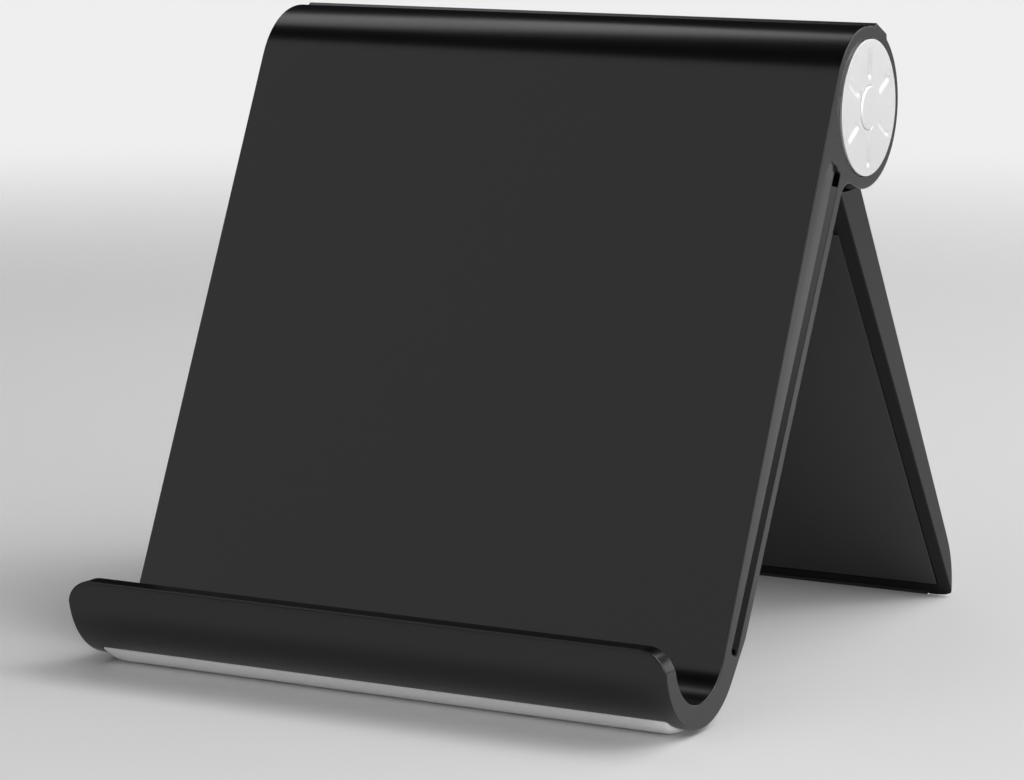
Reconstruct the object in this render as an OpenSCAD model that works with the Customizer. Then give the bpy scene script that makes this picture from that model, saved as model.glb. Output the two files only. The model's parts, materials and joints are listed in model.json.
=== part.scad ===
// Folding tablet stand: a cradle with a curled tray and a wide rear leg that swings on a
// friction hinge in the top barrel and nests in the back of the cradle when folded.
// +X runs along the hinge, +Y points to the leg, +Z is up, and the table is at z = 0.

/* [Overall] */
// Width of the cradle between its two end faces
width = 120; // [100:1:160]
// Backward tilt of the cradle's front face from vertical, in degrees
cradle_tilt = 25; // [15:0.5:30]
// Backward lean of the leg's rear face from vertical, in degrees
leg_lean = 32.9; // [28:0.1:38]

/* [Cradle] */
// Outer radius of the hinge barrel; the front face is tangent to it
barrel_r = 14.8; // [14.5:0.1:16]
// Thickness of the front wall and of the barrel's skin
wall = 2.4; // [2.2:0.1:2.6]
// Width of each side rim
rim_w = 3.3; // [3:0.1:4]
// Distance from the hinge axis down the panel to the centre of the tray
tray_u = 106.6; // [100:0.1:120]
// Inner radius of the tray's curl
tray_r = 10; // [8:0.1:12]
// Outer radius of the tray's curl
curl_r = 14.85; // [14:0.05:17]
// Height of the lip above the table
lip_h = 17.1; // [16.5:0.1:19]
// Corner radius at each end of the lip
lip_corner_r = 5; // [2:0.5:6]
// Distance from the hinge axis forwards to the rim's rear edge, near the barrel
rim_v = 3.8; // [3.5:0.05:4.5]
// Taper of the rim's rear edge, in degrees
rim_taper = 2.5; // [2:0.1:3.2]
// Height of the flat ridge along the top of the barrel
ridge_h = 0.55; // [0.2:0.05:0.7]
// Slope of the long groove in each end face, in degrees
groove_slope = 5.5; // [4:0.1:7]

/* [Leg] */
// Distance from the hinge axis to the plane of the leg's rear face
leg_rear = 2.93; // [2.5:0.01:3.5]
// Distance from the hinge axis to the plane of the leg's inner face, at the hinge
leg_front = 11.96; // [11.5:0.01:12]
// Taper of the leg towards its foot, in degrees
leg_taper = 2.2; // [1.8:0.1:2.4]
// Radius of the curve that brings the rear face down to the foot
foot_curve_r = 18.5; // [16:0.5:20]
// Width of the bevelled border round the inner cover
border_w = 2.4; // [2:0.1:3]

/* [Hinge] */
// Width of each fixed ear, measured in from the end face
ear_w = 15; // [14:0.5:16]
// Radius of the leg's knuckle
knuckle_r = 12; // [11.8:0.05:12]
// Radius of the steel hinge shaft
shaft_r = 4; // [3.5:0.1:4.5]
// Radius of each silver end disc
disc_r = 12.4; // [12:0.1:12.6]

/* [Hidden] */
$fn = 96;

half_w = width / 2;
reach = 200;      // longer than any section, for cutting shapes
eps = 0.05;       // overlap that lets a cut pass right through a face
gap = 0.3;        // clearance between leg and cradle

// Local frames: y runs backwards from the face, z runs up the panel or the leg, origin on the hinge axis.
tray_c = [-barrel_r - tray_r, -tray_u];
curl_c = [tray_c[0] + 0.85, tray_c[1] + 0.7];

// Strip foot under the tray: a low crown that the stand rests on
foot_mid = 260.5;       // direction of the crown's middle from the curl's centre, in degrees
foot_half = 24.5;       // half of the angle that the strip covers, in degrees
foot_proud = 1.2;
foot_seat = 0.6;
foot_flat = 0.15;       // height worn flat off the crown, where it rests on the table
foot_top_r = curl_r + foot_proud;
foot_shift = (pow(foot_top_r, 2) - pow(curl_r, 2)) / (2 * (foot_top_r - curl_r * cos(foot_half)));
foot_crown_r = foot_top_r - foot_shift;
foot_len = width - 6;

// Hinge axis: high enough for the strip foot to touch the table
curl_drop = -curl_c[1] * cos(cradle_tilt) + curl_c[0] * sin(cradle_tilt);
hinge_h = curl_drop + foot_crown_r - foot_shift * sin(foot_mid) - foot_flat;

// Leg length: the inner edge of the foot reaches the table
foot_clear = 0.15;
leg_slope = tan(leg_taper);
leg_len = (hinge_h - leg_front * sin(leg_lean)) / (cos(leg_lean) - leg_slope * sin(leg_lean));
frame_len = leg_len - foot_clear / cos(leg_lean);
curve_start = leg_len - 11.8;
leg_half_w = half_w - rim_w - gap;
foot_half_w = leg_half_w - 5;
cover_half_w = leg_half_w - border_w;
cover_top = 21;         // distances from the hinge axis down the leg to the cover's two ends
cover_end = leg_len - 3;
lid_t = 1;              // thickness of the inner cover
hollow_end = leg_len - 14;
skin_t = 2;             // thickness of the leg's rear skin

// The hinge axis sits so that the origin is under the middle of the whole stand
front_reach = -curl_c[0] * cos(cradle_tilt) - curl_c[1] * sin(cradle_tilt) + curl_r;
back_reach = foot_curve_r - (leg_rear + foot_curve_r) * cos(leg_lean) + curve_start * sin(leg_lean);
hinge_y = (front_reach - back_reach) / 2;

// Stations along the hinge, measured from the middle of the stand
ear_in = half_w - ear_w;
knuckle_end = ear_in - 1;
plate_in = ear_in + 4;
plate_out = plate_in + 2;
spring_t = 1.3;
spring_out = plate_out + 2 * spring_t;
washer_out = spring_out + 1;
nut_out = washer_out + 2.8;
shaft_end = nut_out + 0.2;
carrier_in = half_w - 2;
disc_in = half_w - 0.9;
disc_out = half_w + 0.45;
button_out = half_w + 0.75;
disc_gap = 0.2;         // fine gap round each disc, in its recess

stem_r = 2.45;          // stem of the button, and the button itself in its seat
button_r = 4;
button_seat = 0.5;
pocket_r = 9.5;
flat_half = 3.2;        // half of the distance across the shaft's two flats
plate_half = 7.45;      // half of the key plate's height
nut_r = 5.77;           // corner radius of a nut 10 mm across its flats
thread_r = 3;
sweep_r = barrel_r + 0.6; // radius at which the leg's shoulders clear the ears
bush_r = 6;
bush_len = 12;

black = [0.13, 0.13, 0.135];
grey = [0.24, 0.24, 0.25];
steel = [0.62, 0.63, 0.65];
silver = [0.86, 0.86, 0.87];

function polar(r, a) = [r * cos(a), r * sin(a)];
// Touching point of the lower tangent from point p to a circle
function tangent_point(p, c, r) =
    let (d = c - p, l = norm(d), a = atan2(d[1], d[0]) + asin(r / l), t = sqrt(l * l - r * r))
    p + polar(t, a);
// Rear edge of the side rim, and inner face of the leg, as distances behind the hinge axis
function rim_y(u) = -rim_v - (u - 20) * tan(rim_taper);
function inner_y(t) = -leg_front + t * leg_slope;

module at_hinge() {
    translate([0, hinge_y, hinge_h]) children();
}

module cradle_frame() {
    at_hinge() rotate([-cradle_tilt, 0, 0]) children();
}

module leg_pose() {
    at_hinge() rotate([leg_lean, 0, 0]) children();
}

// A section drawn in y and z, extruded along the hinge about the middle plane
module across(w) {
    rotate([90, 0, 90]) linear_extrude(height = w, center = true) children();
}

// The same section at both ends, from one station to another
module at_ends(from, to) {
    for (side = [-1, 1])
        translate([side * (from + to) / 2, 0, 0]) across(to - from) children();
}

// A turned piece on the hinge axis; its profile is drawn as [radius, station]
module turned() {
    at_hinge() rotate([0, 90, 0]) rotate_extrude() children();
}

// A ring between two stations
module ring(r_in, r_out, from, to) {
    turned() translate([r_in, from]) square([r_out - r_in, to - from]);
}

// Left-hand copies are mirror images
module on_side(side) {
    if (side > 0) children();
    else mirror([1, 0, 0]) children();
}

// ---- Cradle ----

// Half-plane above the lip's top, in the cradle's own section
module above_lip() {
    rotate(cradle_tilt) translate([-reach / 2, lip_h - hinge_h]) square([reach, reach]);
}

module tray_section() {
    difference() {
        translate(curl_c) circle(curl_r);
        translate(tray_c) circle(tray_r);
        translate(tray_c) square([tray_r, reach]);
        above_lip();
    }
}

// Front wall with its rim depth, tapering towards the tray
module plate_section() {
    rim_end = 101;         // where the rim's rear edge turns towards the curl
    tuck = 3.4;            // how far the wall's own section runs on into the curl
    low = [rim_y(rim_end), -rim_end];
    polygon([
        [-barrel_r, 0],
        [-barrel_r, tray_c[1] - tuck],
        tangent_point(low, curl_c, curl_r),
        low,
        [rim_y(14), -14],
        [0, 0]
    ]);
}

// Concave fillet that joins the barrel to the rim's rear edge
module barrel_fillet() {
    r = 4;
    c_y = rim_y(19) + r;
    c_z = -sqrt(pow(barrel_r + r, 2) - c_y * c_y);
    difference() {
        polygon([[0, 0], [rim_y(14) - 1, -14], [rim_y(19), c_z], [c_y, c_z]]);
        translate([c_y, c_z]) circle(r);
    }
}

module ridge_section() {
    top = barrel_r + ridge_h;
    polygon([[-3.6, barrel_r - 1], [-2.8, top], [2.5, top], [3.3, barrel_r - 1]]);
}

module rim_section() {
    circle(barrel_r);
    tray_section();
    plate_section();
    barrel_fillet();
}

// Space behind the front wall that takes the folded leg, clear of the ears
module nest_section() {
    difference() {
        translate([-barrel_r + wall, -reach]) square([reach, reach]);
        circle(barrel_r);
    }
}

// Space between the ears for the knuckle, open at the back from stop_angle down
module knuckle_section() {
    stop_angle = 50;
    circle(barrel_r - wall);
    polygon([
        [0, 0],
        polar(reach, stop_angle),
        [reach, -reach],
        [-barrel_r + wall, -reach],
        [-barrel_r + wall, 0]
    ]);
}

// Long groove in each end face: a gentle slope towards the rear that drops into a slot, whose far side
// ramps back up to the face. The slot's two ends are deeper pockets.
module side_groove() {
    slope_y = -barrel_r + 2.4;
    ramp = 34;             // angle of the slot's far side to the end face, in degrees
    rear_gap = 2.2;        // width of the flat strip left behind the groove
    slot_top = 14.7;
    slot_end = 105;
    slot_taper = 3.1;      // slant of the slot's near side, in degrees
    pocket_depth = 2;
    pocket_len = 2.8;
    spot_r = 0.6;
    spot_shift = 0.5;      // how far the spot at the slot's foot lies behind the slot's middle
    deep = 10;
    near_top = -7.4;       // near side of the slot at its top, behind the hinge axis
    near_end = near_top - (slot_end - slot_top) * tan(slot_taper);
    far_top = rim_y(slot_top) - rear_gap;
    far_end = rim_y(slot_end) - rear_gap;
    for (side = [0, 1]) mirror([side, 0, 0]) {
        intersection() {
            translate([half_w, slope_y, -reach]) linear_extrude(height = 2 * reach)
                polygon([[0, 0], [-tan(groove_slope) * deep, deep], [1, deep], [1, 0]]);
            across(2 * width) polygon([
                [slope_y - 0.1, -18.5],
                [slope_y + 1, -15],
                [slope_y + 1.6, -14.3],
                [near_top - 0.6, -14.3],
                [near_top, -14.7],
                [near_top + 0.1, -16],
                [near_end + 0.1, -slot_end + 1],
                [slope_y - 0.1, -slot_end + 1]
            ]);
        }
        intersection() {
            translate([half_w, rim_y(20) - rear_gap, -20]) rotate([-rim_taper, 0, 0]) translate([0, 0, -reach])
                linear_extrude(height = 2 * reach)
                    polygon([[eps * tan(ramp), eps], [-deep * tan(ramp), -deep], [1, -deep], [1, eps]]);
            across(2 * width) slot_outline(near_top, far_top + 0.1, near_end, far_end + 0.1, slot_top, slot_end);
        }
        translate([half_w - pocket_depth, 0, 0]) rotate([90, 0, 90]) linear_extrude(height = pocket_depth + 1) {
            intersection() {
                slot_outline(near_top + 0.05, far_top - 0.15, near_end, far_end, slot_top + 0.05, slot_end);
                translate([-reach / 2, -slot_top - pocket_len]) square([reach, reach]);
            }
            translate([(near_end + far_end) / 2 + spot_shift, -slot_end + spot_r + 0.1]) circle(spot_r);
        }
    }
}

module slot_outline(near_top, far_top, near_end, far_end, top, end) {
    round_r = 0.8;
    hull() {
        translate([near_top + round_r, -top - round_r]) circle(round_r);
        translate([far_top - round_r, -top - round_r]) circle(round_r);
        translate([near_end + round_r, -end + round_r]) circle(round_r);
        translate([far_end - round_r, -end + round_r]) circle(round_r);
    }
}

// Rounds the lip's two upper corners, in the stand's own upright frame; each arc crosses the end face
module lip_corners() {
    lip_y = hinge_y - front_reach;
    crossing = 0.1;
    for (side = [0, 1]) mirror([side, 0, 0])
        translate([half_w - lip_corner_r + crossing, lip_y - 1, lip_h - lip_corner_r])
            rotate([90, 0, 0]) translate([0, 0, -10]) linear_extrude(height = 10) difference() {
                square(lip_corner_r + 1);
                circle(lip_corner_r);
            }
}

// Ear bores: shaft with two flats, keyed seat, spring pocket and disc recess
module ear_bores() {
    at_hinge() for (side = [0, 1]) mirror([side, 0, 0]) {
        translate([ear_in - 1, 0, 0]) keyed_bar(shaft_r + eps, flat_half + eps, 6);
        translate([plate_in, 0, 0]) keyed_bar(pocket_r, plate_half + 0.1, 3);
        translate([plate_out, 0, 0]) rotate([0, 90, 0]) cylinder(r = pocket_r, h = 20);
        translate([disc_in, 0, 0]) rotate([0, 90, 0]) cylinder(r = disc_r + disc_gap, h = 5);
    }
}

// Round bar along X with two flats
module keyed_bar(r, half, len) {
    intersection() {
        rotate([0, 90, 0]) cylinder(r = r, h = len);
        translate([0, -reach / 2, -half]) cube([len, reach, 2 * half]);
    }
}

module front_panel() color(black) difference() {
    cradle_frame() difference() {
        union() {
            across(width) rim_section();
            across(width) ridge_section();
        }
        across(2 * (half_w - rim_w)) nest_section();
        across(2 * ear_in) knuckle_section();
        side_groove();
    }
    lip_corners();
    ear_bores();
    foot_seat_cut();
}

// Place of the curl's centre in the upright frame
module at_curl() {
    cradle_frame() translate([0, curl_c[0], curl_c[1]]) rotate([cradle_tilt, 0, 0]) children();
}

module foot_wedge(half) {
    polygon([[0, 0], polar(40, foot_mid - half), polar(45, foot_mid), polar(40, foot_mid + half)]);
}

module foot_seat_cut() {
    at_curl() across(foot_len + 0.1) difference() {
        foot_wedge(foot_half);
        circle(curl_r - foot_seat);
    }
}

module tray_foot() color([0.72, 0.72, 0.73]) difference() {
    at_curl() across(foot_len) intersection() {
        difference() {
            translate(polar(foot_shift, foot_mid)) circle(foot_crown_r);
            circle(curl_r - foot_seat + 0.02);
        }
        foot_wedge(foot_half - 0.2);
    }
    translate([-reach / 2, -reach, -reach]) cube([reach, 2 * reach, reach]);
}

// ---- Leg ----

// Wedge-shaped leg section with its curved foot, down to a length len
module leg_section(len) {
    difference() {
        polygon([[-leg_rear, 0], [-leg_rear, -len - 5], [inner_y(len + 5), -len - 5], [inner_y(0), 0]]);
        difference() {
            translate([-reach, -curve_start - reach]) square([2 * reach, reach]);
            translate([-leg_rear - foot_curve_r, -curve_start]) circle(foot_curve_r);
        }
        rotate(-leg_lean) translate([-reach, -reach - hinge_h + (leg_len - len) * cos(leg_lean)])
            square([2 * reach, reach]);
    }
}

// Part of the foot that the soft strip takes up: the edge itself and the curve behind it
module foot_zone() {
    edge_h = 0.7;
    strip_h = 6.5;
    edge_depth = 1;        // distances behind the inner face at the strip's lower and upper end
    strip_depth = 2.4;
    polygon([
        [inner_y(leg_len) - 2, -leg_len - 5],
        [inner_y(leg_len) - 2, -leg_len + edge_h],
        [inner_y(leg_len) + edge_depth, -leg_len + edge_h],
        [inner_y(leg_len) + strip_depth, -leg_len + strip_h],
        [reach, -leg_len + strip_h],
        [reach, -leg_len - 5]
    ]);
}

// Band just behind the inner face, from one distance down the leg to another
module inner_band(from, to, depth) {
    polygon([
        [inner_y(from) - 1, -from],
        [inner_y(from) + depth, -from],
        [inner_y(to) + depth, -to],
        [inner_y(to) - 1, -to]
    ]);
}

module leg_frame() color(black) leg_pose() difference() {
    union() {
        across(2 * knuckle_end) {
            circle(knuckle_r);
            leg_section(frame_len);
        }
        across(2 * leg_half_w) difference() {
            leg_section(frame_len);
            circle(sweep_r);
        }
    }
    // seat of the inner cover, and the hollow behind it
    across(2 * cover_half_w) inner_band(cover_top, cover_end, lid_t);
    across(2 * (cover_half_w - 2)) polygon([
        [inner_y(cover_top + 3), -cover_top - 3],
        [-leg_rear - skin_t, -cover_top - 3],
        [-leg_rear - skin_t, -hollow_end],
        [inner_y(hollow_end), -hollow_end]
    ]);
    // bevelled border beside the cover
    for (side = [0, 1]) mirror([side, 0, 0])
        translate([0, -leg_front, 0]) rotate([leg_taper, 0, 0]) translate([0, 0, -reach])
            linear_extrude(height = reach) polygon([
                [cover_half_w, -1],
                [cover_half_w, 0],
                [leg_half_w + 0.1, 0.6],
                [leg_half_w + 0.1, -1]
            ]);
    // seat of the soft foot
    across(2 * foot_half_w + 0.1) foot_zone();
    // shaft clearance and bush seats
    rotate([0, 90, 0]) cylinder(r = shaft_r + 1, h = width, center = true);
    for (side = [0, 1]) mirror([side, 0, 0])
        translate([knuckle_end - bush_len, 0, 0]) rotate([0, 90, 0]) cylinder(r = bush_r, h = bush_len + 1);
}

module leg_cover() color([0.10, 0.10, 0.105]) leg_pose() union() {
    across(2 * cover_half_w - 0.2) inner_plate(cover_top + 0.1, cover_end - 0.1);
    // stiffening ribs towards the steel plate
    for (x = [-36, 0, 36]) translate([x, 0, 0]) across(1.4) polygon([
        [inner_y(27) + lid_t - 0.2, -27],
        [-leg_rear - skin_t - 1.5, -27],
        [-leg_rear - skin_t - 1.5, -80],
        [inner_y(80) + lid_t - 0.2, -80]
    ]);
}

module inner_plate(from, to) {
    polygon([
        [inner_y(from), -from],
        [inner_y(from) + lid_t, -from],
        [inner_y(to) + lid_t, -to],
        [inner_y(to), -to]
    ]);
}

module leg_stiffener() color(steel) leg_pose()
    translate([0, -leg_rear - skin_t - 0.6, -cover_top - 4 - 37]) cube([94, 1.2, 74], center = true);

module leg_foot() color(grey) leg_pose() across(2 * foot_half_w) intersection() {
    leg_section(leg_len);
    foot_zone();
}

// ---- Hinge ----

module hinge_shaft() color(steel) at_hinge() {
    rotate([0, 90, 0]) cylinder(r = shaft_r, h = 2 * ear_in - 1, center = true);
    for (side = [0, 1]) mirror([side, 0, 0]) {
        translate([ear_in - 0.5, 0, 0]) keyed_bar(shaft_r, flat_half, plate_out - ear_in + 0.5);
        translate([plate_out, 0, 0]) rotate([0, 90, 0]) cylinder(r = thread_r, h = shaft_end - plate_out);
    }
}

module key_plate(side) color(steel) on_side(side) at_hinge() difference() {
    translate([plate_in, 0, 0]) keyed_bar(pocket_r - 0.1, plate_half, plate_out - plate_in);
    translate([plate_in - 1, 0, 0]) keyed_bar(shaft_r + eps, flat_half + eps, 5);
}

module disc_springs(side) color(steel) on_side(side) turned() {
    spring_in = thread_r + 0.2;
    spring_edge = thread_r + 3.6;
    sheet = 0.6;
    for (k = [0, 1]) translate([0, plate_out + k * spring_t]) polygon(k == 0
        ? [[spring_in, spring_t - sheet], [spring_edge, 0], [spring_edge, sheet], [spring_in, spring_t]]
        : [[spring_in, 0], [spring_edge, spring_t - sheet], [spring_edge, spring_t], [spring_in, sheet]]);
}

module flat_washer(side) color(steel) on_side(side)
    ring(thread_r + 0.2, thread_r + 3.6, spring_out, washer_out);

module lock_nut(side) color(steel) on_side(side) at_hinge() difference() {
    translate([washer_out, 0, 0]) rotate([0, 90, 0]) cylinder(r = nut_r, h = nut_out - washer_out, $fn = 6);
    translate([washer_out - 1, 0, 0]) rotate([0, 90, 0]) cylinder(r = thread_r + 0.02, h = 6);
}

// Cup that snaps into the ear and carries the disc
module cap_carrier(side) color(grey) on_side(side) turned() {
    skirt_r = pocket_r - 0.05;
    skirt_t = 1.15;
    skirt_in = plate_out + 0.4;
    polygon([
        [stem_r + eps, carrier_in],
        [skirt_r - skirt_t, carrier_in],
        [skirt_r - skirt_t, skirt_in],
        [skirt_r, skirt_in],
        [skirt_r, disc_in],
        [stem_r + eps, disc_in]
    ]);
}

// Silver disc with six short, round-ended radial grooves round its button
module cap_disc(side) color(silver) on_side(side) difference() {
    grooves = 6;
    groove_r = 0.6;
    groove_depth = 0.35;
    groove_from = 6;
    groove_to = 10;
    ring(stem_r + eps, disc_r, disc_in, disc_out);
    ring(1, button_r + 0.1, disc_out - button_seat, disc_out + 1);
    for (k = [0:grooves - 1]) at_hinge() rotate([360 * k / grooves, 0, 0])
        translate([disc_out - groove_depth, 0, 0]) rotate([90, 0, 90]) linear_extrude(height = 1) {
            translate([-groove_r, groove_from]) square([2 * groove_r, groove_to - groove_from]);
            for (r = [groove_from, groove_to]) translate([0, r]) circle(r = groove_r);
        }
}

// Round button whose stem holds the disc on its carrier
module cap_button(side) color(silver) on_side(side) turned() {
    bevel = 0.25;
    polygon([
        [0, carrier_in + 0.2],
        [stem_r, carrier_in + 0.2],
        [stem_r, disc_out - button_seat],
        [button_r, disc_out - button_seat],
        [button_r, button_out - bevel],
        [button_r - bevel, button_out],
        [0, button_out]
    ]);
}

module hinge_bush(side) color([0.85, 0.83, 0.76]) on_side(side)
    ring(shaft_r + eps, bush_r, knuckle_end - bush_len, knuckle_end);

module friction_washer(side) color([0.32, 0.30, 0.28]) on_side(side)
    ring(shaft_r + 0.3, knuckle_r - 1, knuckle_end, ear_in - eps);

front_panel();
tray_foot();
hinge_shaft();
key_plate(1);  // key_plate_right
key_plate(-1);  // key_plate_left
disc_springs(1);  // disc_springs_right
disc_springs(-1);  // disc_springs_left
flat_washer(1);  // flat_washer_right
flat_washer(-1);  // flat_washer_left
lock_nut(1);  // lock_nut_right
lock_nut(-1);  // lock_nut_left
cap_carrier(1);  // cap_carrier_right
cap_carrier(-1);  // cap_carrier_left
cap_disc(1);  // cap_disc_right
cap_disc(-1);  // cap_disc_left
cap_button(1);  // cap_button_right
cap_button(-1);  // cap_button_left
leg_frame();
leg_cover();
leg_stiffener();
leg_foot();
hinge_bush(1);  // hinge_bush_right
hinge_bush(-1);  // hinge_bush_left
friction_washer(1);  // friction_washer_right
friction_washer(-1);  // friction_washer_left
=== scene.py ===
import json
import math

import bmesh
import bpy
from mathutils import Matrix, Vector


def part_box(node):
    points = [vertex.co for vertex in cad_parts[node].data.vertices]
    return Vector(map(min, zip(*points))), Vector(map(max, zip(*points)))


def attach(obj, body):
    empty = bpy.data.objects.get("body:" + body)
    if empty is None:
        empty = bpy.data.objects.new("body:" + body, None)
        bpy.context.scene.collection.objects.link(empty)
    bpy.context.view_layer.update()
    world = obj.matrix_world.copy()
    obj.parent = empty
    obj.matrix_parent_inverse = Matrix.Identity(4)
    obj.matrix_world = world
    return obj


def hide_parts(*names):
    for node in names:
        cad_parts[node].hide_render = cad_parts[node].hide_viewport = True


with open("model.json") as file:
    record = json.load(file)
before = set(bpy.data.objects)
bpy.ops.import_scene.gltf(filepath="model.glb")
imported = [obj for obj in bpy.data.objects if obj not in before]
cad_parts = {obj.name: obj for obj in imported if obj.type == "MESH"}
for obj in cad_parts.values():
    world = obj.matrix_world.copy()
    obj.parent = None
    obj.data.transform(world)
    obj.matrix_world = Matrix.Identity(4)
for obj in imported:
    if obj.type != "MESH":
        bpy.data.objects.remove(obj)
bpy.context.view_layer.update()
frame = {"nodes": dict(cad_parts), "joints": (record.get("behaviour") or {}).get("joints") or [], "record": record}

MM = 0.001
scene = bpy.context.scene

# ---- Places, from the frame ----

HINGE = Vector(frame["joints"][0]["pos_m"])
FACE_NORMAL = Vector(frame["record"]["mounts"][0]["axis"]).normalized()
TILT = math.asin(FACE_NORMAL.z)
PANEL_LOW, PANEL_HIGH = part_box("front_panel")
HALF_W = PANEL_HIGH.x


def link(name, mesh):
    """A new object for a mesh, in the scene."""
    piece = bpy.data.objects.new(name, mesh)
    scene.collection.objects.link(piece)
    return piece


def mesh_of(name, bm):
    """Turns a bmesh into an object, with outward normals."""
    bmesh.ops.recalc_face_normals(bm, faces=bm.faces)
    mesh = bpy.data.meshes.new(name)
    bm.to_mesh(mesh)
    bm.free()
    return link(name, mesh)


# ---- Materials ----


def principled(name, base, roughness, metallic=0, specular=0.5):
    """A node material with its constants on the shader's own sockets."""
    material = bpy.data.materials.new(name)
    material.use_nodes = True
    shader = material.node_tree.nodes["Principled BSDF"]
    shader.inputs["Base Color"].default_value = (*base, 1)
    shader.inputs["Roughness"].default_value = roughness
    shader.inputs["Metallic"].default_value = metallic
    shader.inputs["Specular IOR Level"].default_value = specular
    return material, material.node_tree, shader


def noise(tree, scale, detail=3, stretch=(1, 1, 1)):
    """Noise in the frame's own metres, stretched along an axis if asked."""
    place = tree.nodes.new("ShaderNodeTexCoord")
    mapping = tree.nodes.new("ShaderNodeMapping")
    mapping.inputs["Scale"].default_value = stretch
    field = tree.nodes.new("ShaderNodeTexNoise")
    field.inputs["Scale"].default_value = scale
    field.inputs["Detail"].default_value = detail
    tree.links.new(place.outputs["Object"], mapping.inputs["Vector"])
    tree.links.new(mapping.outputs["Vector"], field.inputs["Vector"])
    return field.outputs["Fac"]


def spread(tree, field, low, high):
    """Maps the middle of a noise field, where nearly all of it lies, to a range of numbers."""
    node = tree.nodes.new("ShaderNodeMapRange")
    node.inputs["From Min"].default_value = 0.3
    node.inputs["From Max"].default_value = 0.7
    node.inputs["To Min"].default_value = low
    node.inputs["To Max"].default_value = high
    tree.links.new(field, node.inputs["Value"])
    return node.outputs["Result"]


def tint(tree, field, dark, light):
    """Mixes two colours by a field."""
    node = tree.nodes.new("ShaderNodeMix")
    node.data_type = "RGBA"
    node.inputs["A"].default_value = (*dark, 1)
    node.inputs["B"].default_value = (*light, 1)
    tree.links.new(field, node.inputs["Factor"])
    return node.outputs["Result"]


def relief(tree, shader, height, distance):
    """Bump from a height field, in metres."""
    node = tree.nodes.new("ShaderNodeBump")
    node.inputs["Distance"].default_value = distance
    node.inputs["Strength"].default_value = 1
    tree.links.new(height, node.inputs["Height"])
    tree.links.new(node.outputs["Normal"], shader.inputs["Normal"])


def moulded(name, base, roughness, grain=2600, depth=0.004 * MM, vary=0.04, specular=0.5):
    """Moulded plastic or rubber: fine spark-eroded grain, and slow changes of gloss and tone."""
    material, tree, shader = principled(name, base, roughness, specular=specular)
    fine = noise(tree, grain, 2)
    broad = noise(tree, 45, 4)
    gloss = spread(tree, broad, roughness - vary, roughness + vary)
    tone = tint(tree, fine, [c * 0.93 for c in base], [c * 1.07 for c in base])
    tree.links.new(gloss, shader.inputs["Roughness"])
    tree.links.new(tone, shader.inputs["Base Color"])
    relief(tree, shader, fine, depth)
    return material


def metal(name, base, roughness, grain=1500, depth=0.002 * MM, stretch=(1, 1, 1)):
    """Blasted, brushed or plated metal."""
    material, tree, shader = principled(name, base, roughness, metallic=1.0)
    fine = noise(tree, grain, 3, stretch)
    gloss = spread(tree, fine, roughness - 0.05, roughness + 0.05)
    tone = tint(tree, fine, [c * 0.95 for c in base], base)
    tree.links.new(gloss, shader.inputs["Roughness"])
    tree.links.new(tone, shader.inputs["Base Color"])
    relief(tree, shader, fine, depth)
    return material


SHELL = moulded("satin_black", (0.0018, 0.0018, 0.0019), 0.23, vary=0.01)
LEG = moulded("satin_black_leg", (0.0036, 0.0036, 0.0038), 0.32, vary=0.01, specular=0.20)
COVER = moulded("matt_black", (0.030, 0.030, 0.031), 0.50, vary=0.02)
DARK = moulded("dark_nylon", (0.03, 0.03, 0.03), 0.55)
SILICONE = moulded("pale_silicone", (0.88, 0.88, 0.89), 0.45, grain=1400)
RUBBER = moulded("dark_rubber", (0.02, 0.02, 0.02), 0.62)
BUSH = moulded("natural_acetal", (0.72, 0.70, 0.62), 0.40)
FIBRE = moulded("fibre_disc", (0.12, 0.11, 0.10), 0.70, grain=900)
SILVER = metal("blasted_silver", (0.95, 0.95, 0.95), 0.42)
STEEL = metal("plated_steel", (0.60, 0.60, 0.62), 0.28, stretch=(1, 20, 20))


def paint(piece, material):
    piece.data.materials.clear()
    piece.data.materials.append(material)


# ---- Shared shaping ----


CREASE = math.radians(24)
FLAT_ANGLE = math.radians(0.5)
FLAT_GAP = 0.012 * MM


def soften(piece, width):
    """Rounds the edges that carry a bevel weight; width is the radius where the weight is 1."""
    bevel = piece.modifiers.new("Rounded edges", "BEVEL")
    bevel.limit_method = "WEIGHT"
    bevel.width = width
    bevel.segments = 3
    bevel.use_clamp_overlap = False
    bevel.loop_slide = False
    bevel.miter_outer = "MITER_ARC"
    normals = piece.modifiers.new("Even normals", "WEIGHTED_NORMAL")
    normals.keep_sharp = True
    normals.weight = 60


def rounded_from(node, name, widest, radius_at=None):
    """A detailed piece that starts from a CAD node's solid. Its end faces are made exactly flat and its
    flat faces are joined up. Each sharp edge gets the widest radius, or what radius_at(middle) gives."""
    bm = bmesh.new()
    bm.from_mesh(frame["nodes"][node].data)
    low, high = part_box(node)
    for vert in bm.verts:
        for end in (low.x, high.x):
            if abs(vert.co.x - end) < FLAT_GAP:
                vert.co.x = end
    bmesh.ops.remove_doubles(bm, verts=bm.verts, dist=FLAT_GAP)
    bmesh.ops.dissolve_limit(bm, angle_limit=FLAT_ANGLE, verts=bm.verts, edges=bm.edges)
    weights = bm.edges.layers.float.new("bevel_weight_edge")
    for edge in bm.edges:
        if len(edge.link_faces) != 2 or edge.calc_face_angle(0) < CREASE:
            continue
        start, end = (vert.co for vert in edge.verts)
        edge[weights] = radius_at((start + end) / 2) / widest if radius_at else 1
    for face in bm.faces:
        face.smooth = True
    piece = mesh_of(name, bm)
    soften(piece, widest)
    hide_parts(node)
    return piece


# ---- Cradle ----


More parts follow.
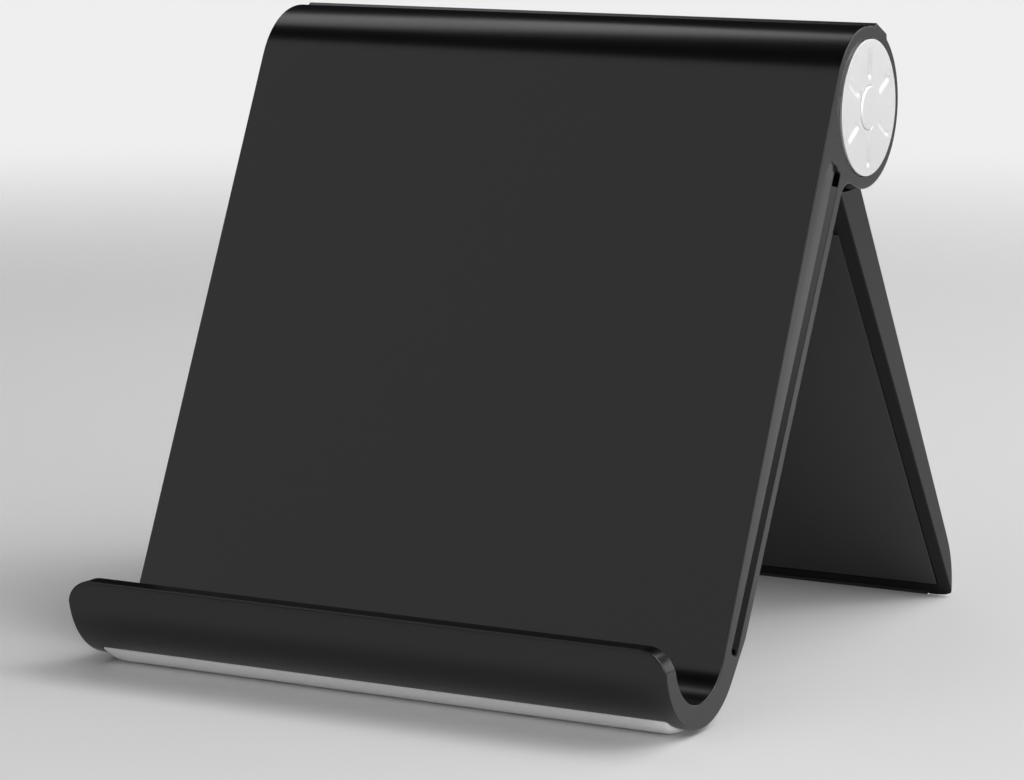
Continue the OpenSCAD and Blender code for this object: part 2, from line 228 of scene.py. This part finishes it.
OUTLINE_R = 0.28 * MM      # edge radii of the shell: its outline, the disc recesses and the grooves
RECESS_R = 0.15 * MM
GROOVE_R = 0.10 * MM
GROOVE_FOOT_R = 0.04 * MM
END_DEPTH = 3.2 * MM       # how deep the detail of an end face goes
RECESS_REACH = 13.2        # the rest are in mm, in the cradle's tilted frame
GROOVE_TOP = 13.8
GROOVE_NARROWS = 103
GROOVE_END = 106
GROOVE_FRONT = -12.8
REAR_STRIP = 1.6           # what stays flat behind the groove
RIM_REAR = (20, -3.8)      # a point of the rim's rear edge: down the panel, behind the hinge axis
RIM_SLANT = math.radians(2.5)


def panel_place(point):
    """A point's distance down the panel and behind the hinge axis, in the cradle's tilted frame."""
    offset = point - HINGE
    down = -offset.y * math.sin(TILT) - offset.z * math.cos(TILT)
    behind = offset.y * math.cos(TILT) - offset.z * math.sin(TILT)
    return down / MM, behind / MM


def shell_radius(middle):
    """Radius of an edge of the shell: finest in the grooves of its end faces, finer round the discs."""
    down, behind = panel_place(middle)
    if abs(middle.x) < HALF_W - END_DEPTH:
        return OUTLINE_R
    rear = RIM_REAR[1] - (down - RIM_REAR[0]) * math.tan(RIM_SLANT)
    if GROOVE_TOP < down < GROOVE_END and GROOVE_FRONT < behind < rear - REAR_STRIP:
        return GROOVE_R if down < GROOVE_NARROWS else GROOVE_FOOT_R
    if math.hypot(down, behind) < RECESS_REACH:
        return RECESS_R
    return OUTLINE_R


shell = rounded_from("front_panel", "cradle_shell", OUTLINE_R, shell_radius)
paint(shell, SHELL)
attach(shell, "cradle")


def grid_faces(bm, rows):
    """Faces between neighbouring points of a grid."""
    for first, second in zip(rows, rows[1:]):
        for column in range(len(first) - 1):
            bm.faces.new((first[column], first[column + 1], second[column + 1], second[column]))


def foot_strip():
    """The pale strip under the curl: a low crown that runs out towards both ends, and a flat it stands on."""
    curl_r = 14.85 * MM
    proud = 1.2 * MM       # height of the crown over the curl
    seat = 0.6 * MM        # how deep the strip sits in the curl
    curl_axis = Vector((0, PANEL_LOW.y + curl_r, PANEL_LOW.z + curl_r))
    middle, half = math.radians(260.5), math.radians(24.4)  # its place round the curl, half its width
    edge_angle = half + math.radians(0.1)                   # where the crown's arc would meet the curl
    top_r = curl_r + proud
    crown_shift = (top_r**2 - curl_r**2) / (2 * (top_r - curl_r * math.cos(edge_angle)))
    crown_r = top_r - crown_shift
    corner = 0.8 * MM
    run_out = 2.4 * MM
    half_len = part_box("tray_foot")[1].x
    rows, columns = 28, 64

    def eased(share):
        """Spreads -1 to 1 so that steps get fine near both ends."""
        return share if abs(share) < 0.5 else math.copysign(1 - 2 * (1 - abs(share)) ** 2, share)

    def crown(turn):
        return crown_shift * math.cos(turn) + math.sqrt(crown_r**2 - (crown_shift * math.sin(turn)) ** 2)

    def place(x, turn, radius):
        angle = middle + turn
        return Vector((x, curl_axis.y + radius * math.cos(angle), curl_axis.z + radius * math.sin(angle)))

    bm = bmesh.new()
    outer, inner = [], []
    for row in range(rows + 1):
        turn = half * eased(2 * row / rows - 1)
        edge = (half - abs(turn)) * curl_r
        inset = corner - math.sqrt(max(0, corner**2 - (corner - min(edge, corner)) ** 2))
        length = half_len - inset
        outer_row, inner_row = [], []
        for column in range(columns + 1):
            x = length * eased(2 * column / columns - 1)
            end = min(length - abs(x), run_out) / run_out
            height = (crown(turn) - curl_r) * math.sqrt(1 - (1 - end) ** 2)
            point = place(x, turn, curl_r + height)
            point.z = max(point.z, 0)
            outer_row.append(bm.verts.new(point))
            inner_row.append(bm.verts.new(place(x, turn, curl_r - seat)))
        outer.append(outer_row)
        inner.append(inner_row)
    grid_faces(bm, outer)
    grid_faces(bm, inner)
    for column in (0, columns):
        grid_faces(bm, [[points[column] for points in grid] for grid in (outer, inner)])
    for row in (0, rows):
        grid_faces(bm, [outer[row], inner[row]])
    piece = mesh_of("tray_foot_strip", bm)
    piece.data.shade_smooth()
    piece.data.set_sharp_from_angle(angle=math.radians(50))
    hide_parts("tray_foot")
    return piece


strip = foot_strip()
paint(strip, SILICONE)
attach(strip, "cradle")


def end_disc(side):
    """A silver end disc: a turned face with a rolled rim, and six soft radial flutes round the button."""
    node = "cap_disc_" + side
    low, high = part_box(node)
    outward = 1 if side == "right" else -1
    outer_r = (high.z - low.z) / 2
    face = max(high.x, -low.x) - 0.03 * MM
    back = max(low.x, -high.x)
    stem_r = 2.5 * MM
    seat_r, seat = 4.1 * MM, 0.5 * MM
    seat_chamfer, back_chamfer = 0.08 * MM, 0.1 * MM
    roll, roll_steps = 0.05 * MM, 5
    flutes = 6
    flute_from, flute_to = 6 * MM, 10 * MM
    flute_r, flute_deep = 1 * MM, 0.45 * MM
    spokes, rings = 240, 34

    profile = [(stem_r, back), (stem_r, face - seat), (seat_r, face - seat), (seat_r, face - seat_chamfer)]
    face_in, face_out = seat_r + seat_chamfer, outer_r - roll
    profile += [(face_in + (face_out - face_in) * k / rings, face) for k in range(rings + 1)]
    for k in range(1, roll_steps + 1):
        turn = math.pi / 2 * k / roll_steps
        profile.append((face_out + roll * math.sin(turn), face - roll + roll * math.cos(turn)))
    profile += [(outer_r, back + back_chamfer), (outer_r - back_chamfer, back)]

    def flute(radius, turn):
        """Depth of the nearest flute under a point of the face."""
        pitch = 2 * math.pi / flutes
        away = (turn + pitch / 2) % pitch - pitch / 2
        along, across = radius * math.cos(away), radius * math.sin(away)
        beyond = max(flute_from - along, along - flute_to, 0)
        share = math.hypot(beyond, across) / flute_r
        return flute_deep * (1 - share * share) ** 2 if share < 1 else 0

    bm = bmesh.new()
    turned = []
    for radius, station in profile:
        ring = []
        for k in range(spokes):
            turn = 2 * math.pi * k / spokes
            height = station - (flute(radius, turn) if station == face else 0)
            ring.append(bm.verts.new((
                outward * height,
                HINGE.y + radius * math.sin(turn),
                HINGE.z + radius * math.cos(turn),
            )))
        turned.append(ring)
    for first, second in zip(turned, turned[1:] + turned[:1]):
        for k in range(spokes):
            bm.faces.new((first[k], first[(k + 1) % spokes], second[(k + 1) % spokes], second[k]))
    piece = mesh_of("end_disc_" + side, bm)
    piece.data.shade_smooth()
    piece.data.set_sharp_from_angle(angle=math.radians(40))
    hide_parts(node)
    return piece


for side in ("right", "left"):
    disc = end_disc(side)
    button = rounded_from("cap_button_" + side, "end_button_" + side, 0.05 * MM)
    for piece in (disc, button):
        paint(piece, SILVER)
        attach(piece, "cradle")
    paint(frame["nodes"]["cap_carrier_" + side], DARK)
    paint(frame["nodes"]["hinge_bush_" + side], BUSH)
    paint(frame["nodes"]["friction_washer_" + side], FIBRE)
    for part in ("key_plate_", "disc_springs_", "flat_washer_", "lock_nut_"):
        paint(frame["nodes"][part + side], STEEL)
paint(frame["nodes"]["hinge_shaft"], STEEL)
paint(frame["nodes"]["leg_stiffener"], STEEL)


# ---- Leg ----

leg = rounded_from("leg_frame", "leg_shell", 0.30 * MM)
paint(leg, LEG)
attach(leg, "leg")
cover = rounded_from("leg_cover", "leg_inner_cover", 0.15 * MM)
paint(cover, COVER)
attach(cover, "leg")
foot = rounded_from("leg_foot", "leg_foot_strip", 0.22 * MM)
paint(foot, RUBBER)
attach(foot, "leg")

# ---- Floor, lights and camera ----


def direction(azimuth, elevation):
    """Unit vector from the object towards a place round it; azimuth 0 is in front, 90 to the right."""
    a, e = math.radians(azimuth), math.radians(elevation)
    return Vector((math.sin(a) * math.cos(e), -math.cos(a) * math.cos(e), math.sin(e)))


def softbox(name, azimuth, elevation, distance, size, radiance):
    """Rectangular soft light, aimed at the middle of the stand, with its power from radiance and size."""
    lamp = bpy.data.lights.new(name, "AREA")
    lamp.shape = "RECTANGLE"
    lamp.size, lamp.size_y = size
    lamp.energy = radiance * math.pi * size[0] * size[1]
    holder = bpy.data.objects.new(name, lamp)
    scene.collection.objects.link(holder)
    aim = Vector((0, 0, 0.05))
    towards = direction(azimuth, elevation)
    holder.location = aim + towards * distance
    holder.rotation_mode = "QUATERNION"
    holder.rotation_quaternion = towards.to_track_quat("Z", "Y")


FLOOR_TONE = 0.80
BACKDROP_TONE = 0.86
ROOM_TONE = 0.01
FLOOR_FADE = (0.45, 1.0)
HORIZON_FADE = (-0.15, 0.0)


def pale_floor():
    """A round pale floor that fades out into the backdrop."""
    bm = bmesh.new()
    bmesh.ops.create_circle(bm, cap_ends=True, radius=FLOOR_FADE[1], segments=96)
    disc = mesh_of("floor", bm)
    material, tree, shader = principled("pale_floor", (FLOOR_TONE,) * 3, 0.7, specular=0.1)
    tone = tint(tree, noise(tree, 6), (FLOOR_TONE - 0.02,) * 3, (FLOOR_TONE,) * 3)
    spot = tree.nodes.new("ShaderNodeTexCoord")
    reach = tree.nodes.new("ShaderNodeVectorMath")
    reach.operation = "LENGTH"
    fade = tree.nodes.new("ShaderNodeMapRange")
    fade.interpolation_type = "SMOOTHSTEP"
    fade.inputs["From Min"].default_value = FLOOR_FADE[0]
    fade.inputs["From Max"].default_value = FLOOR_FADE[1]
    fade.inputs["To Min"].default_value = 1
    fade.inputs["To Max"].default_value = 0
    tree.links.new(tone, shader.inputs["Base Color"])
    tree.links.new(spot.outputs["Object"], reach.inputs[0])
    tree.links.new(reach.outputs["Value"], fade.inputs["Value"])
    tree.links.new(fade.outputs["Result"], shader.inputs["Alpha"])
    paint(disc, material)
    return disc


def studio():
    """A dim room above, and the pale floor's own tone below it; the camera sees a pale backdrop."""
    world = bpy.data.worlds.new("studio")
    world.use_nodes = True
    tree = world.node_tree
    room = tree.nodes["Background"]
    room.inputs["Color"].default_value = (1, 1, 1, 1)
    backdrop = tree.nodes.new("ShaderNodeBackground")
    backdrop.inputs["Color"].default_value = (BACKDROP_TONE, BACKDROP_TONE, BACKDROP_TONE, 1)
    heading = tree.nodes.new("ShaderNodeTexCoord")
    height = tree.nodes.new("ShaderNodeSeparateXYZ")
    ramp = tree.nodes.new("ShaderNodeMapRange")
    ramp.inputs["From Min"].default_value = HORIZON_FADE[0]
    ramp.inputs["From Max"].default_value = HORIZON_FADE[1]
    ramp.inputs["To Min"].default_value = FLOOR_TONE
    ramp.inputs["To Max"].default_value = ROOM_TONE
    mix = tree.nodes.new("ShaderNodeMixShader")
    path = tree.nodes.new("ShaderNodeLightPath")
    tree.links.new(heading.outputs["Generated"], height.inputs["Vector"])
    tree.links.new(height.outputs["Z"], ramp.inputs["Value"])
    tree.links.new(ramp.outputs["Result"], room.inputs["Strength"])
    tree.links.new(path.outputs["Is Camera Ray"], mix.inputs["Fac"])
    tree.links.new(room.outputs["Background"], mix.inputs[1])
    tree.links.new(backdrop.outputs["Background"], mix.inputs[2])
    tree.links.new(mix.outputs["Shader"], tree.nodes["World Output"].inputs["Surface"])
    return world


floor = pale_floor()

softbox("front_left", -34, 31, 1.5, (2.0, 1.35), 0.72)
softbox("back_left", -126, 53, 1.5, (0.72, 0.42), 1.5)
softbox("right", 84, 38, 1.5, (1.9, 1.2), 2.1)
softbox("back_right_top", 140, 52, 1.5, (1.6, 1.0), 2.6)
softbox("back_right", 152, 10, 1.5, (1.4, 0.5), 1.2)
softbox("front_right", 52, 8, 1.3, (1.4, 0.25), 3.5)
scene.world = studio()
scene.view_settings.view_transform = "Standard"

CAMERA_AZIMUTH = 28.069
CAMERA_ELEVATION = 9.17
CAMERA_ROLL = math.radians(0.282)
CAMERA_DISTANCE = 0.72384
CAMERA_LENS = 132.1
SENSOR_WIDTH = 36
AIM_RIGHT = -0.010825
AIM_UP = 0.044492


def photo_camera():
    """A camera at the photograph's viewing angle."""
    back = direction(CAMERA_AZIMUTH, CAMERA_ELEVATION)
    level = direction(CAMERA_AZIMUTH + 90, 0)
    upright = back.cross(level)
    right = level * math.cos(CAMERA_ROLL) + upright * math.sin(CAMERA_ROLL)
    up = upright * math.cos(CAMERA_ROLL) - level * math.sin(CAMERA_ROLL)
    place = Vector((0, HINGE.y, 0)) + back * CAMERA_DISTANCE + right * AIM_RIGHT + up * AIM_UP
    lens = bpy.data.cameras.new("camera")
    lens.lens = CAMERA_LENS
    lens.sensor_width = SENSOR_WIDTH
    lens.clip_start = 0.05
    lens.clip_end = 20
    camera = bpy.data.objects.new("camera", lens)
    camera.matrix_world = Matrix.Translation(place) @ Matrix((right, up, back)).transposed().to_4x4()
    scene.collection.objects.link(camera)
    return camera


scene.camera = photo_camera()
